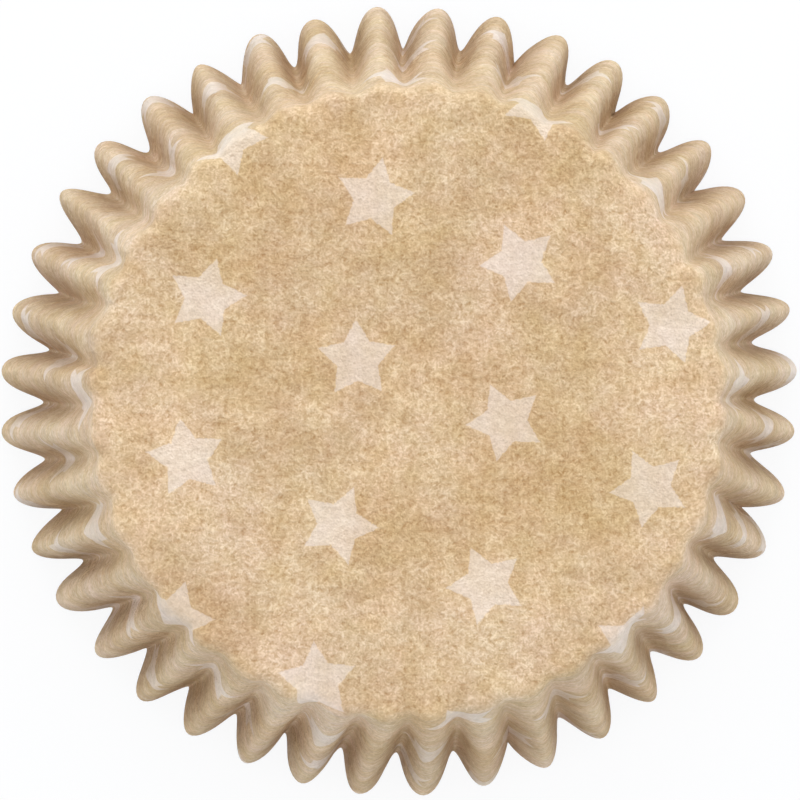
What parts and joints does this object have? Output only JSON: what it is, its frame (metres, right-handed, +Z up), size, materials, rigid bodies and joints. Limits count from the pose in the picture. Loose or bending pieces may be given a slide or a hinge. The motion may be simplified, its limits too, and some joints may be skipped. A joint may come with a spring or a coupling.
{
  "type": "cupcake liner",
  "caption": "Pleated paper baking cup with a flat round base and a flared, fluted wall, standing upside down on its mouth.",
  "frame": {"origin": "centre of the mouth, on the plane that the roots of the pleats stand on", "axes": "+Z up the cup's axis, out through its flat base; +Y is the top of the picture and +X its right"},
  "size_m": [0.0704, 0.0704, 0.0339],
  "materials": {
    "printed_paper": "matt tan baking paper with pale fibres and a loose print of paler five-pointed stars on its outside"
  },
  "bodies": {
    "root": {"paper_cup": "printed_paper"}
  },
  "joints": []
}
